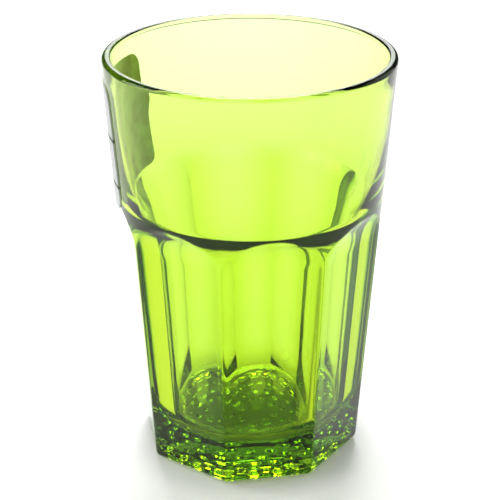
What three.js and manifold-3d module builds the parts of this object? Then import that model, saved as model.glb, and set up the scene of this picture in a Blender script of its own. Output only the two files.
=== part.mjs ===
// Highball glass: a pressed green tumbler with a round bowl, a shoulder, eight flat panels with arched
// tops, a heavy octagonal foot and a small paper label on the side of the bowl.
// Millimetres, +Z up, origin on the table under the centre of the foot. One panel faces -Y.
import * as THREE from 'three';
import { mergeVertices } from 'three/addons/utils/BufferGeometryUtils.js';
import Module from 'manifold-3d';

const wasm = await Module();
wasm.setup();

// Outside of the glass
const height = 122;
const rimRadius = 41.6;
const footRadius = 33.4;
const heelRadius = 2.2;
const segments = 72;

// Panels below the shoulder
const panelCount = 8;
const ridgeWidth = 0.9;
const coveStart = 70;
const coveRadius = 22;

// Rounded lip
const lipRadius = 1.2;
const lipInner = 0.8;
const lipWall = 2.5;

// Inside of the glass
const bellyHeight = 106;
const bellyWall = 2.5;
const waistHeight = 93;
const waistWall = 2.45;
const bowlWall = 4;
const ledgeTop = 80.5;
const ledgeDrop = 2.4;
const ledgeSlope = THREE.MathUtils.degToRad(32);
const ledgeFoot = 71;
const lowerRadius = 31.3;
const floorRadius = 27.8;
const floorHeight = 10;
const floorFillet = 9;

// Underside: a domed recess with rings of small roof-shaped bosses
const recessRadius = 26;
const recessStep = 3;
const recessDepth = 1.4;
const recessDome = 0.8;
const bossCrown = 0.15;
const bossRings = [
  { radius: 23.4, count: 20, turn: 0, halfDepth: 2.2, halfWidth: 1.9, slope: 0.59 },
  { radius: 18, count: 20, turn: 0.5, halfDepth: 1.3, halfWidth: 1.4, slope: 0.59 },
  { radius: 13, count: 12, turn: 0, halfDepth: 1.7, halfWidth: 1.6, slope: 0.44 },
  { radius: 8.5, count: 8, turn: 0.5, halfDepth: 1.6, halfWidth: 1.5, slope: 0.44 },
];

// Paper label
const labelWidth = 38.5;
const labelBottom = 79.5;
const labelTop = 115.5;
const labelCorner = 4;
const labelThickness = 0.2;
const labelGap = 0.15;
const labelDirection = THREE.MathUtils.degToRad(163);

const taper = (rimRadius - footRadius) / height;
const envelope = (z) => footRadius + taper * z;

// A closed three.js geometry as a solid that can be cut.
function solid(geometry) {
  geometry.deleteAttribute('normal');
  geometry.deleteAttribute('uv');
  const merged = mergeVertices(geometry, 1e-4);
  const index = merged.index.array;
  const triangles = [];
  for (let i = 0; i < index.length; i += 3) {
    const [a, b, c] = [index[i], index[i + 1], index[i + 2]];
    if (a !== b && b !== c && c !== a) triangles.push(a, b, c);
  }
  return new wasm.Manifold(new wasm.Mesh({
    numProp: 3,
    vertProperties: new Float32Array(merged.attributes.position.array),
    triVerts: new Uint32Array(triangles),
  }));
}

// A finished solid as a geometry with normals for shading.
function toGeometry(body) {
  const mesh = body.getMesh();
  const geometry = new THREE.BufferGeometry();
  geometry.setAttribute('position', new THREE.BufferAttribute(new Float32Array(mesh.vertProperties), 3));
  geometry.setIndex(new THREE.BufferAttribute(new Uint32Array(mesh.triVerts), 1));
  geometry.computeVertexNormals();
  return geometry;
}

// A profile of radius and height turned about the Z axis.
function revolve(points) {
  return solid(new THREE.LatheGeometry(points, segments).rotateX(Math.PI / 2));
}

// A profile of distance from the axis and height, extruded sideways and turned to face an angle.
function slab(shape, width, angle, curveSegments = 6) {
  const geometry = new THREE.ExtrudeGeometry(shape, { depth: width, bevelEnabled: false, curveSegments });
  return solid(geometry.translate(0, 0, -width / 2).rotateX(Math.PI / 2).rotateZ(angle));
}

// The tumbler as a body of revolution: heel, straight cone, rounded lip, bowl, ledge, lower wall and floor.
function tumblerProfile() {
  const lean = Math.atan(taper);
  const lipZ = height - lipRadius;
  const lipX = envelope(lipZ) - lipRadius / Math.cos(lean);
  const innerZ = height - lipInner;
  const innerX = envelope(innerZ) - lipWall + lipInner;
  const bellyX = envelope(bellyHeight) - bellyWall;
  const waistX = envelope(waistHeight) - waistWall;
  const creaseX = envelope(ledgeTop) - bowlWall;
  const slope = Math.tan(ledgeSlope);
  const draft = (lowerRadius - floorRadius) / (ledgeFoot - floorHeight);
  const bendZ = (lowerRadius - draft * ledgeFoot - creaseX + slope * ledgeTop) / (slope - draft);
  const filletX = floorRadius - floorFillet;
  const path = new THREE.Path();
  path.moveTo(0, 0);
  path.lineTo(envelope(0) - heelRadius, 0);
  path.absarc(envelope(0) - heelRadius, heelRadius, heelRadius, -Math.PI / 2, -lean, false);
  path.absarc(lipX, lipZ, lipRadius, -lean, Math.PI / 2, false);
  path.absarc(innerX, innerZ, lipInner, Math.PI / 2, Math.PI - lean, false);
  path.bezierCurveTo(bellyX, bellyHeight, waistX, waistHeight, creaseX, ledgeTop);
  path.lineTo(creaseX - ledgeDrop * slope, ledgeTop - ledgeDrop);
  path.quadraticCurveTo(creaseX - (ledgeTop - bendZ) * slope, bendZ, lowerRadius, ledgeFoot);
  path.absarc(filletX, floorHeight + floorFillet, floorFillet, -Math.atan(draft), -Math.PI / 2, true);
  path.lineTo(0, floorHeight);
  return path.getPoints(5);
}

// What is cut away in front of one panel: heel round, drafted flat and the cove that flares to the bowl.
function panelShape() {
  const halfAngle = Math.PI / panelCount - ridgeWidth / (2 * envelope(coveStart / 2));
  const apothem = (z) => envelope(z) * Math.cos(halfAngle);
  const lean = Math.atan(taper * Math.cos(halfAngle));
  const coveX = apothem(coveStart) + coveRadius * Math.cos(lean);
  const coveZ = coveStart - coveRadius * Math.sin(lean);
  const coveEnd = Math.PI - Math.asin(14.5 / coveRadius);
  const shape = new THREE.Shape();
  shape.moveTo(apothem(0) - heelRadius, -1);
  shape.lineTo(apothem(0) - heelRadius, 0);
  shape.absarc(apothem(0) - heelRadius, heelRadius, heelRadius, -Math.PI / 2, -lean, false);
  shape.absarc(coveX, coveZ, coveRadius, Math.PI - lean, coveEnd, true);
  shape.lineTo(60, coveZ + 14.5);
  shape.lineTo(60, -1);
  shape.closePath();
  return shape;
}

// Height of the recess above the table at a distance from the axis.
function recessCeiling(radius) {
  return recessDepth + recessDome * (1 - (radius / recessRadius) ** 2);
}

// The domed recess under the foot, which leaves a flat ring to stand on.
function recess() {
  const edge = recessRadius - recessStep;
  const points = [
    new THREE.Vector2(0, -1),
    new THREE.Vector2(recessRadius, -1),
    new THREE.Vector2(recessRadius, 0),
  ];
  for (let i = 5; i >= 0; i -= 1) {
    points.push(new THREE.Vector2((edge * i) / 5, recessCeiling((edge * i) / 5)));
  }
  return revolve(points);
}

// The section of one boss: two sloping faces, a narrow crown and a root inside the glass.
function bossShape({ radius, halfDepth, slope }) {
  const ceiling = recessCeiling(radius);
  const root = 0.8;
  const flare = root / slope;
  const crown = halfDepth * bossCrown;
  const crownZ = ceiling - slope * (halfDepth - crown);
  return new THREE.Shape([
    new THREE.Vector2(radius - halfDepth - flare, ceiling + root),
    new THREE.Vector2(radius - crown, crownZ),
    new THREE.Vector2(radius + crown, crownZ),
    new THREE.Vector2(radius + halfDepth + flare, ceiling + root),
  ]);
}

function glassBody() {
  let body = revolve(tumblerProfile());
  const panel = panelShape();
  for (let i = 0; i < panelCount; i += 1) {
    body = body.subtract(slab(panel, 40, (i * 2 * Math.PI) / panelCount));
  }
  body = body.subtract(recess());
  for (const ring of bossRings) {
    const shape = bossShape(ring);
    for (let i = 0; i < ring.count; i += 1) {
      const angle = -Math.PI / 2 + ((i + ring.turn) * 2 * Math.PI) / ring.count;
      body = body.add(slab(shape, 2 * ring.halfWidth, angle));
    }
  }
  return body;
}

// The label: a thin skin over the bowl's cone, kept where a rounded square is pushed through it.
function label() {
  const inside = labelGap;
  const outside = labelGap + labelThickness;
  const skin = revolve([
    new THREE.Vector2(envelope(labelBottom - 2) + inside, labelBottom - 2),
    new THREE.Vector2(envelope(labelBottom - 2) + outside, labelBottom - 2),
    new THREE.Vector2(envelope(labelTop + 2) + outside, labelTop + 2),
    new THREE.Vector2(envelope(labelTop + 2) + inside, labelTop + 2),
    new THREE.Vector2(envelope(labelBottom - 2) + inside, labelBottom - 2),
  ]);
  const half = labelWidth / 2;
  const shape = new THREE.Shape();
  shape.moveTo(-half + labelCorner, labelBottom);
  shape.absarc(half - labelCorner, labelBottom + labelCorner, labelCorner, -Math.PI / 2, 0, false);
  shape.absarc(half - labelCorner, labelTop - labelCorner, labelCorner, 0, Math.PI / 2, false);
  shape.absarc(-half + labelCorner, labelTop - labelCorner, labelCorner, Math.PI / 2, Math.PI, false);
  shape.absarc(-half + labelCorner, labelBottom + labelCorner, labelCorner, Math.PI, 1.5 * Math.PI, false);
  const cutter = new THREE.ExtrudeGeometry(shape, { depth: 40, bevelEnabled: false, curveSegments: 5 });
  cutter.translate(0, 0, 20).rotateX(Math.PI / 2).rotateZ(Math.PI / 2 + labelDirection);
  return skin.intersect(solid(cutter));
}

const glass = new THREE.MeshStandardMaterial({
  color: 0xa9dc3e,
  roughness: 0.04,
  metalness: 0,
  transparent: true,
  opacity: 0.45,
});
const paper = new THREE.MeshStandardMaterial({ color: 0xeceaf2, roughness: 0.75, metalness: 0 });

const tumbler = new THREE.Mesh(toGeometry(glassBody()), glass);
tumbler.name = 'tumbler';

const sticker = new THREE.Mesh(toGeometry(label()), paper);
sticker.name = 'paper_label';

const highball = new THREE.Group();
highball.add(tumbler, sticker);

export default highball;
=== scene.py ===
import math
import bpy
import numpy as np
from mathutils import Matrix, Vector


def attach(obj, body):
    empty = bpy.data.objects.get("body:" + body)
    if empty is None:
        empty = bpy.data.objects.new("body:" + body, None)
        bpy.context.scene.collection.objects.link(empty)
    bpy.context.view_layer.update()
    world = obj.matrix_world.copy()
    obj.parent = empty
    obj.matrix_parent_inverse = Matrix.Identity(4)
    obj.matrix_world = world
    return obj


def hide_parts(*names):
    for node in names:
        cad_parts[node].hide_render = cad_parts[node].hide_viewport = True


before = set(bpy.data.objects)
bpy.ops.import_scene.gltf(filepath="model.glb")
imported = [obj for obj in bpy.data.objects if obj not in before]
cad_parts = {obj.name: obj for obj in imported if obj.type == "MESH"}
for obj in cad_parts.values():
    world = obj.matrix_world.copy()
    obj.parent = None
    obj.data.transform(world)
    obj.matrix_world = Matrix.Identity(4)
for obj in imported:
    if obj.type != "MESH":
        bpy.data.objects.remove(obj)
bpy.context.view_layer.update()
scene = bpy.context.scene

# Dimensions of the glass and its label are in millimetres, in the part's own frame
MM_PER_M = 1000

# Outside of the glass: a cone with a rounded heel
HEIGHT = 121.99
RIM_RADIUS = 41.59
FOOT_RADIUS = 33.4
HEEL = 2.2
TAPER = (RIM_RADIUS - FOOT_RADIUS) / HEIGHT

# Flat panels, the soft ridges between them and the coves at their tops
PANELS = 8
RIDGE_WIDTH = 0.5
RIDGE_SOFTNESS = 0.35
COVE_START = 70.0
COVE_RADIUS = 22.0

# Lip, with a bead on its inner edge that turns back to the neck of the bowl
LIP = 1.2
LIP_INNER = 0.7
LIP_WALL = 2.6
LIP_TURN = math.radians(50.0)
NECK_WALL = 2.2
NECK_ROUND = 0.3

# Inside of the glass: bowl, ledge, lower wall and floor
BELLY_HEIGHT = 106.0
BELLY_WALL = 2.5
WAIST_HEIGHT = 93.0
WAIST_WALL = 2.45
BOWL_WALL = 4.0
LEDGE_TOP = 80.5
LEDGE_DROP = 2.4
LEDGE_SLOPE = math.radians(32.0)
LEDGE_FOOT = 71.0
LOWER_RADIUS = 31.3
FLOOR_RADIUS = 27.8
FLOOR_HEIGHT = 10.0
FLOOR_FILLET = 9.0

# Underside: a domed recess with rings of small roof-shaped bosses
RECESS_RADIUS = 26.0
RECESS_DEPTH = 1.4
RECESS_DOME = 0.8
RECESS_STEP = 3.0
BOSS_ROUND = 0.15
BOSS_END = 0.6
# Of each ring: radius, number of bosses and phase, then half depth, half width and slope of a boss
BOSS_RINGS = (
    (23.4, 20, 0.5, 2.2, 2.7, 0.59),
    (18.0, 20, 0.0, 1.3, 1.9, 0.59),
    (13.0, 12, 0.5, 1.7, 2.2, 0.44),
    (8.5, 8, 0.0, 1.6, 2.0, 0.44),
)

# Paper label, whose gummed back reaches a little into the glass so that no film of air shows between
LABEL_WIDTH = 38.5
LABEL_BOTTOM = 79.5
LABEL_TOP = 115.5
LABEL_CORNER = 4.0
LABEL_THICK = 0.37
LABEL_GAP = -0.02
LABEL_TURN = math.radians(163.0)
# Printed rules, as shares of the label's height, and their ink
RULE_STARTS = (0.19, 0.57)
RULE_WIDTH = 0.024
INK = (0.06, 0.06, 0.07, 1)
WHITE = (1, 1, 1, 1)

# Where the mesh is finer: beside each ridge in degrees, along the coves and over the bosses
RIDGE_ZONE = 3.0
COVE_LOW = 68.0
COVE_HIGH = 84.0
BOSS_ZONE = 7.0

# Stage and camera, in metres and radians
STAGE_HALF = 2.0
STAGE_DROP = 0.0003
STAGE_TONE = (0.68, 0.68, 0.68, 1)
GLARE_NEAR = 0.022
GLARE_FAR = 0.042
GLARE_LEVEL = 0.4
LAMP_AIM = Vector((0, 0, 0.05))
ROOM_LEVEL = 0.05
CAMERA_SENSOR = 36.0
CAMERA_LENS = 102.02
CAMERA_BEARING = math.radians(-10.13)
CAMERA_REACH = 0.3826
CAMERA_HEIGHT = 0.23727
CAMERA_TILT = 0.4316

# Colour sockets of a mix node
MIX_A, MIX_B, MIX_RESULT = 6, 7, 2


def cone(z):
    """Radius of the round envelope at height z."""
    return FOOT_RADIUS + TAPER * z


# Half angle of a panel, the lean of its flat and the centre of its cove
half = math.pi / PANELS - RIDGE_WIDTH / (2 * cone(COVE_START / 2))
lean = math.atan(TAPER * math.cos(half))
cove_x = cone(COVE_START) * math.cos(half) + COVE_RADIUS * math.cos(lean)
cove_z = COVE_START - COVE_RADIUS * math.sin(lean)

# Angles round the glass, closer together at the ridges, and how much further out a flat lies at each
pitch = 360 / PANELS
ridge = pitch / 2
flank = ridge - RIDGE_ZONE
sector = np.concatenate([
    np.linspace(-ridge, -flank, num=8)[:-1],
    np.linspace(-flank, flank, num=31)[:-1],
    np.linspace(flank, ridge, num=8)[:-1],
])
turn = np.radians(np.concatenate([sector + pitch * k for k in range(PANELS)]))
across = 1 / np.cos((turn + math.pi / PANELS) % (2 * math.pi / PANELS) - math.pi / PANELS)
ones = np.ones_like(turn)


def outside(z):
    """Outer radius over all angles at height z: eight flats with coved tops, cut from the cone."""
    inset = HEEL - math.sqrt(max(HEEL ** 2 - max(HEEL - z, 0) ** 2, 0))
    flat = cone(z) * math.cos(half)
    if z > COVE_START:
        flat = cove_x - math.sqrt(max(COVE_RADIUS ** 2 - (z - cove_z) ** 2, 0))
    round_wall = (cone(z) - inset) * ones
    flat_wall = (flat - inset) * across
    near = np.maximum(RIDGE_SOFTNESS - np.abs(round_wall - flat_wall), 0) / RIDGE_SOFTNESS
    return np.minimum(round_wall, flat_wall) - near * near * RIDGE_SOFTNESS / 4


def underside(r):
    """Height of the recessed underside over all angles at radius r, with its rings of bosses."""
    step = min(max((RECESS_RADIUS - r) / RECESS_STEP, 0), 1)
    dome = RECESS_DEPTH + RECESS_DOME * (1 - (r / RECESS_RADIUS) ** 2)
    z = dome * step * step * (3 - 2 * step) * ones
    for ring, count, phase, deep, wide, steep in BOSS_RINGS:
        side = ((turn * count / (2 * math.pi) + phase) % 1.0 - 0.5) * (2 * math.pi / count) * ring
        roof = max(1 - math.sqrt(((r - ring) / deep) ** 2 + BOSS_ROUND ** 2), 0)
        end = np.clip((wide - np.abs(side)) / (BOSS_END * wide), 0, 1)
        z = z - steep * deep * roof * end * end * (3 - 2 * end)
    return z


def onward(start, end, count):
    """Evenly spaced values from start to end, without the first."""
    return np.linspace(start, end, count)[1:]


def arc(cx, cz, radius, start, end, count):
    """Points on an arc in the (radius, height) plane, without its first."""
    angles = onward(start, end, count)
    return [(cx + radius * math.cos(a), cz + radius * math.sin(a)) for a in angles]


def line(a, b, count):
    """Points on a straight line from a to b, without its first."""
    return [(a[0] + (b[0] - a[0]) * t, a[1] + (b[1] - a[1]) * t) for t in onward(0, 1, count)]


def ease(a, b, c, count):
    """Points on a smooth bend from a to c that leaves towards b and arrives from it, without its first."""
    return [tuple((1 - t) ** 2 * p + 2 * t * (1 - t) * q + t * t * r for p, q, r in zip(a, b, c))
            for t in onward(0, 1, count)]


def sweep(a, b, c, d, count):
    """Points on a smooth bend from a to d that leaves towards b and arrives from c, without its first."""
    return [tuple((1 - t) ** 3 * p + 3 * t * (1 - t) ** 2 * q + 3 * t * t * (1 - t) * r + t ** 3 * s
                  for p, q, r, s in zip(a, b, c, d)) for t in onward(0, 1, count)]


def inner_profile():
    """The lip and the inside as points, from the outer edge of the lip to the middle of the floor."""
    slope = math.atan(TAPER)
    base = HEIGHT - LIP
    centre = cone(base) - LIP / math.cos(slope)
    points = arc(centre, base, LIP, -slope, math.pi / 2, count=15)
    base = HEIGHT - LIP_INNER
    centre = cone(base) - LIP_WALL + LIP_INNER
    points += [(centre, HEIGHT)]
    points += arc(centre, base, LIP_INNER, math.pi / 2, math.pi + LIP_TURN, count=15)
    bead = points[-1]
    reach = (cone(bead[1]) - NECK_WALL - bead[0]) / math.sin(LIP_TURN)
    neck_z = bead[1] - reach * math.cos(LIP_TURN)
    neck = (cone(neck_z) - NECK_WALL, neck_z)
    throat = (cone(neck_z - NECK_ROUND) - NECK_WALL, neck_z - NECK_ROUND)
    points += ease(bead, neck, throat, count=9)
    crease = (cone(LEDGE_TOP) - BOWL_WALL, LEDGE_TOP)
    belly = (cone(BELLY_HEIGHT) - BELLY_WALL, BELLY_HEIGHT)
    waist = (cone(WAIST_HEIGHT) - WAIST_WALL, WAIST_HEIGHT)
    points += sweep(points[-1], belly, waist, crease, count=29)
    tan = math.tan(LEDGE_SLOPE)
    end = (crease[0] - LEDGE_DROP * tan, LEDGE_TOP - LEDGE_DROP)
    points += line(crease, end, count=9)
    foot = (LOWER_RADIUS, LEDGE_FOOT)
    draft = (LOWER_RADIUS - FLOOR_RADIUS) / (LEDGE_FOOT - FLOOR_HEIGHT)
    bend_z = (LOWER_RADIUS - draft * LEDGE_FOOT - crease[0] + tan * LEDGE_TOP) / (tan - draft)
    bend = (crease[0] - (LEDGE_TOP - bend_z) * tan, bend_z)
    points += ease(end, bend, foot, count=13)
    wall = math.atan(draft)
    cx = FLOOR_RADIUS - FLOOR_FILLET
    cz = FLOOR_HEIGHT + FLOOR_FILLET
    fillet = (cx + FLOOR_FILLET * math.cos(wall), cz - FLOOR_FILLET * math.sin(wall))
    points += line(foot, fillet, count=13)
    points += arc(cx, cz, FLOOR_FILLET, -wall, -math.pi / 2, count=23)
    points += line((cx, FLOOR_HEIGHT), (0, FLOOR_HEIGHT), count=8)[:-1]
    return points


def glass_mesh():
    """One closed skin: underside, standing ring, heel, panelled outside, lip and inside."""
    rings = [*onward(0, BOSS_ZONE, count=6), *onward(BOSS_ZONE, RECESS_RADIUS, count=73)]
    rows = [(r * ones, underside(r)) for r in rings]
    edge = outside(0.0)
    rows += [(RECESS_RADIUS * (1 - t) + edge * t, 0 * ones) for t in onward(0, 1, count=4)]
    heights = [HEEL * (1 - math.cos(a)) for a in onward(0, math.pi / 2, count=9)]
    heights += [*onward(HEEL, COVE_LOW, count=15)]
    heights += [*onward(COVE_LOW, COVE_HIGH, count=49)]
    heights += [*onward(COVE_HIGH, HEIGHT - LIP, count=7)]
    rows += [(outside(z), z * ones) for z in heights]
    rows += [(r * ones, z * ones) for r, z in inner_profile()]
    radius = np.array([r for r, z in rows])
    height = np.array([z for r, z in rows])
    points = np.stack([radius * np.sin(turn), -radius * np.cos(turn), height], 2).reshape(-1, 3)
    middle = [(0, 0, RECESS_DEPTH + RECESS_DOME), (0, 0, FLOOR_HEIGHT)]
    points = np.concatenate([points, middle]) / MM_PER_M
    n = len(turn)
    here = np.arange(n)
    after = (here + 1) % n
    band = np.stack([here, after, after + n, here + n], 1)
    quads = np.concatenate([band + j * n for j in range(len(rows) - 1)])
    last = (len(rows) - 1) * n
    under = len(rows) * n
    floor_middle = under + 1
    caps = [(under, b, a) for a, b in zip(here, after)]
    caps += [(floor_middle, last + a, last + b) for a, b in zip(here, after)]
    mesh = bpy.data.meshes.new("tumbler_glass")
    mesh.from_pydata(points.tolist(), [], quads.tolist() + [tuple(int(i) for i in f) for f in caps])
    mesh.polygons.foreach_set("use_smooth", [True] * len(mesh.polygons))
    mesh.update()
    return mesh


def label_mesh():
    """A thin rounded square of paper wrapped on the cone, with its own printed face, back and edge."""
    heights = list(LABEL_BOTTOM + LABEL_CORNER * (1 - np.cos(np.linspace(0, math.pi / 2, num=12))))
    heights += list(np.linspace(LABEL_BOTTOM + LABEL_CORNER, LABEL_TOP - LABEL_CORNER, num=14)[1:-1])
    heights += list(LABEL_TOP - LABEL_CORNER * (1 - np.cos(np.linspace(math.pi / 2, 0, num=12))))
    steps = np.linspace(-1, 1, num=41)
    rows = []
    for z in heights:
        inset = max(LABEL_CORNER - min(z - LABEL_BOTTOM, LABEL_TOP - z), 0)
        wide = LABEL_WIDTH / 2 - LABEL_CORNER + math.sqrt(max(LABEL_CORNER ** 2 - inset ** 2, 0))
        rows.append((z, LABEL_TURN + steps * wide / cone(z)))
    points = []
    for gap in (LABEL_GAP, LABEL_GAP + LABEL_THICK):
        for z, angles in rows:
            r = cone(z) + gap
            points += [(r * math.cos(a) / MM_PER_M, r * math.sin(a) / MM_PER_M, z / MM_PER_M)
                       for a in angles]
    n = len(steps)
    m = len(rows)
    grid = [(j * n + i, j * n + i + 1, (j + 1) * n + i + 1, (j + 1) * n + i)
            for j in range(m - 1) for i in range(n - 1)]
    front = [tuple(k + n * m for k in f) for f in grid]
    back = [tuple(reversed(f)) for f in grid]
    border = list(range(n)) + [j * n + n - 1 for j in range(1, m)]
    border += list(range(m * n - 2, (m - 1) * n - 1, -1)) + [j * n for j in range(m - 2, 0, -1)]
    edge = [(a, b, b + n * m, a + n * m) for a, b in zip(border, border[1:] + border[:1])]
    mesh = bpy.data.meshes.new("label_paper")
    mesh.from_pydata(points, [], back + front + edge)
    sheets = len(back) + len(front)
    faces = range(len(mesh.polygons))
    mesh.polygons.foreach_set("material_index", [int(k < len(back)) for k in faces])
    mesh.polygons.foreach_set("use_smooth", [k < sheets for k in faces])
    mesh.update()
    return mesh


def material(name):
    """A new material and its node tree, shader and output."""
    made = bpy.data.materials.new(name)
    made.use_nodes = True
    nodes = made.node_tree.nodes
    return made, made.node_tree, nodes["Principled BSDF"], nodes["Material Output"]


def glass_material():
    """Clear pressed glass, yellow green in its depth, with a faintly tinted and rippled surface."""
    made, tree, shader, output = material("green_glass")
    shader.inputs["Base Color"].default_value = (0.86, 1, 0.97, 1)
    shader.inputs["Roughness"].default_value = 0.0
    shader.inputs["IOR"].default_value = 1.52
    shader.inputs["Transmission Weight"].default_value = 1.0
    shader.inputs["Specular Tint"].default_value = (0.6, 0.72, 0.4, 1)
    depth = tree.nodes.new("ShaderNodeVolumeAbsorption")
    depth.inputs["Color"].default_value = (0.85, 0.903, 0.0, 1)
    depth.inputs["Density"].default_value = 320.0
    tree.links.new(depth.outputs["Volume"], output.inputs["Volume"])
    place = tree.nodes.new("ShaderNodeTexCoord")
    ripple = tree.nodes.new("ShaderNodeTexNoise")
    ripple.inputs["Scale"].default_value = 70.0
    ripple.inputs["Detail"].default_value = 1.0
    bump = tree.nodes.new("ShaderNodeBump")
    bump.inputs["Strength"].default_value = 0.05
    bump.inputs["Distance"].default_value = 0.001
    tree.links.new(place.outputs["Object"], ripple.inputs["Vector"])
    tree.links.new(ripple.outputs["Fac"], bump.inputs["Height"])
    tree.links.new(bump.outputs["Normal"], shader.inputs["Normal"])
    return made


def paper(name, low, high, grain):
    """Translucent paper with an uneven tone between two colours, and its node tree, shader and tone."""
    made, tree, shader, output = material(name)
    shader.inputs["Roughness"].default_value = 0.7
    place = tree.nodes.new("ShaderNodeTexCoord")
    fibre = tree.nodes.new("ShaderNodeTexNoise")
    fibre.inputs["Scale"].default_value = grain
    fibre.inputs["Detail"].default_value = 5.0
    tone = tree.nodes.new("ShaderNodeValToRGB")
    tone.color_ramp.elements[0].position = 0.35
    tone.color_ramp.elements[0].color = low
    tone.color_ramp.elements[1].position = 0.62
    tone.color_ramp.elements[1].color = high
    glow = tree.nodes.new("ShaderNodeBsdfTranslucent")
    both = tree.nodes.new("ShaderNodeMixShader")
    both.inputs["Fac"].default_value = 0.3
    tree.links.new(place.outputs["Object"], fibre.inputs["Vector"])
    tree.links.new(fibre.outputs["Fac"], tone.inputs["Fac"])
    tree.links.new(tone.outputs["Color"], shader.inputs["Base Color"])
    tree.links.new(tone.outputs["Color"], glow.inputs["Color"])
    tree.links.new(shader.outputs["BSDF"], both.inputs[1])
    tree.links.new(glow.outputs["BSDF"], both.inputs[2])
    tree.links.new(both.outputs["Shader"], output.inputs["Surface"])
    return made, tree, shader, tone


def label_front():
    """White paper with two thin printed rules."""
    made, tree, shader, tone = paper(
        "label_paper", low=(0.86, 0.86, 0.90, 1), high=(0.92, 0.92, 0.96, 1), grain=260.0)
    place = tree.nodes.new("ShaderNodeTexCoord")
    height = tree.nodes.new("ShaderNodeSeparateXYZ")
    along = tree.nodes.new("ShaderNodeMapRange")
    along.inputs["From Min"].default_value = LABEL_BOTTOM / MM_PER_M
    along.inputs["From Max"].default_value = LABEL_TOP / MM_PER_M
    rules = tree.nodes.new("ShaderNodeValToRGB")
    rules.color_ramp.interpolation = "CONSTANT"
    stops = rules.color_ramp.elements
    stops[0].color = WHITE
    stops[1].position = 0.99
    for start in RULE_STARTS:
        stops.new(start).color = INK
        stops.new(start + RULE_WIDTH).color = WHITE
    ink = tree.nodes.new("ShaderNodeMix")
    ink.data_type = "RGBA"
    ink.blend_type = "MULTIPLY"
    ink.inputs[0].default_value = 1.0
    tree.links.new(place.outputs["Object"], height.inputs["Vector"])
    tree.links.new(height.outputs["Z"], along.inputs["Value"])
    tree.links.new(along.outputs["Result"], rules.inputs["Fac"])
    tree.links.new(tone.outputs["Color"], ink.inputs[MIX_A])
    tree.links.new(rules.outputs["Color"], ink.inputs[MIX_B])
    tree.links.new(ink.outputs[MIX_RESULT], shader.inputs["Base Color"])
    return made


def label_back():
    """Mottled gum on the side of the paper that lies on the glass, in a bright yellow green that is
    painted light: it stands in for the green light through the glass that falls on the paper's back.
    """
    return paper("label_gum_and_painted_light", low=(0.56, 0.64, 0.10, 1), high=(0.84, 1.0, 0.34, 1), grain=150.0)[0]


def stage_material():
    """A pale floor, shown whiter than it is lit to the camera and in the glass, but not by the foot."""
    made, tree, shader, output = material("floor")
    shader.inputs["Base Color"].default_value = STAGE_TONE
    shader.inputs["Roughness"].default_value = 0.9
    rays = tree.nodes.new("ShaderNodeLightPath")
    seen = tree.nodes.new("ShaderNodeMath")
    seen.operation = "MAXIMUM"
    shown = tree.nodes.new("ShaderNodeMath")
    shown.operation = "MAXIMUM"
    spot = tree.nodes.new("ShaderNodeTexCoord")
    reach = tree.nodes.new("ShaderNodeVectorMath")
    reach.operation = "LENGTH"
    fade = tree.nodes.new("ShaderNodeMapRange")
    fade.inputs["From Min"].default_value = GLARE_NEAR
    fade.inputs["From Max"].default_value = GLARE_FAR
    fade.inputs["To Max"].default_value = GLARE_LEVEL
    glare = tree.nodes.new("ShaderNodeMath")
    glare.operation = "MULTIPLY"
    white = tree.nodes.new("ShaderNodeEmission")
    joined = tree.nodes.new("ShaderNodeAddShader")
    tree.links.new(rays.outputs["Is Camera Ray"], seen.inputs[0])
    tree.links.new(rays.outputs["Is Glossy Ray"], seen.inputs[1])
    tree.links.new(seen.outputs[0], shown.inputs[0])
    tree.links.new(rays.outputs["Is Transmission Ray"], shown.inputs[1])
    tree.links.new(spot.outputs["Object"], reach.inputs[0])
    tree.links.new(reach.outputs["Value"], fade.inputs["Value"])
    tree.links.new(shown.outputs[0], glare.inputs[0])
    tree.links.new(fade.outputs["Result"], glare.inputs[1])
    tree.links.new(glare.outputs[0], white.inputs["Strength"])
    tree.links.new(shader.outputs["BSDF"], joined.inputs[0])
    tree.links.new(white.outputs["Emission"], joined.inputs[1])
    tree.links.new(joined.outputs["Shader"], output.inputs["Surface"])
    made.cycles.emission_sampling = "NONE"
    return made


def piece(name, mesh, finish, node):
    """Puts a mesh in the scene in place of one of the part's solids, riding on the same body."""
    thing = bpy.data.objects.new(name, mesh)
    scene.collection.objects.link(thing)
    mesh.materials.append(finish)
    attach(thing, "root")
    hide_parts(node)
    return thing


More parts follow.
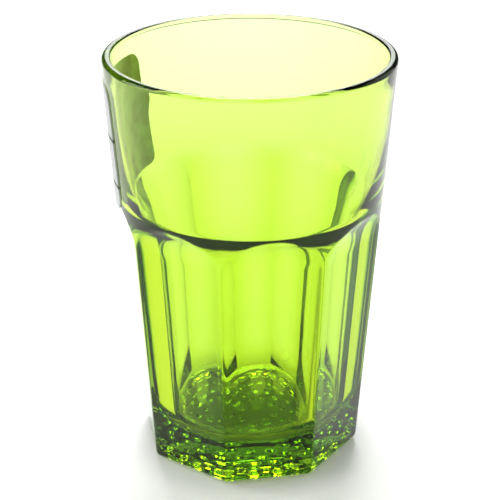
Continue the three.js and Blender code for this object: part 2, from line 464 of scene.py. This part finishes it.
def softbox(name, place, size, power):
    """A square soft light aimed at the glass, in metres and watts."""
    lamp = bpy.data.lights.new(name, "AREA")
    lamp.shape = "SQUARE"
    lamp.size = size
    lamp.energy = power
    thing = bpy.data.objects.new(name, lamp)
    thing.location = place
    thing.rotation_euler = (LAMP_AIM - thing.location).to_track_quat("-Z", "Y").to_euler()
    scene.collection.objects.link(thing)


piece("tumbler_glass", glass_mesh(), glass_material(), "tumbler")
label = piece("label_sheet", label_mesh(), label_front(), "paper_label")
# Back of the label: mottled gum, its bright yellow green painted light standing in for the glass-green
# light on the paper's back
label.data.materials.append(label_back())

# Floor, just under the foot
floor_mesh = bpy.data.meshes.new("floor")
floor_corners = [(STAGE_HALF * x, STAGE_HALF * y, 0) for x, y in ((-1, -1), (1, -1), (1, 1), (-1, 1))]
floor_mesh.from_pydata(floor_corners, [], [(0, 1, 2, 3)])
floor = bpy.data.objects.new("floor", floor_mesh)
floor.location = (0, 0, -STAGE_DROP)
scene.collection.objects.link(floor)
floor_mesh.materials.append(stage_material())

# One large soft light above and behind, weak ones round the glass and a dim room
softbox("key", place=(0.2, 1.3, 2.2), size=1.15, power=76.0)
softbox("fill", place=(-0.1, -0.5, 2.6), size=1.6, power=8.0)
softbox("left_wall", place=(-1.0, 0.2, 0.55), size=0.8, power=9.0)
softbox("right_wall", place=(1.1, 0.4, 0.5), size=0.8, power=1.5)
softbox("back_wall", place=(0.35, 1.9, 0.75), size=0.7, power=5.0)

room = bpy.data.worlds.new("room")
scene.world = room
room.use_nodes = True
backdrop = room.node_tree.nodes["Background"]
backdrop.inputs["Color"].default_value = WHITE
backdrop.inputs["Strength"].default_value = ROOM_LEVEL

# Camera at the photograph's angle, with enough bounces for light to pass through the glass
lens = bpy.data.cameras.new("camera")
lens.sensor_width = CAMERA_SENSOR
lens.lens = CAMERA_LENS
camera = bpy.data.objects.new("camera", lens)
camera.location = (CAMERA_REACH * math.sin(CAMERA_BEARING), -CAMERA_REACH * math.cos(CAMERA_BEARING),
                   CAMERA_HEIGHT)
camera.rotation_euler = (math.pi / 2 - CAMERA_TILT, 0, CAMERA_BEARING)
scene.collection.objects.link(camera)
scene.camera = camera
scene.view_settings.view_transform = "Standard"
scene.cycles.max_bounces = 24
scene.cycles.transmission_bounces = 20
scene.cycles.glossy_bounces = 12
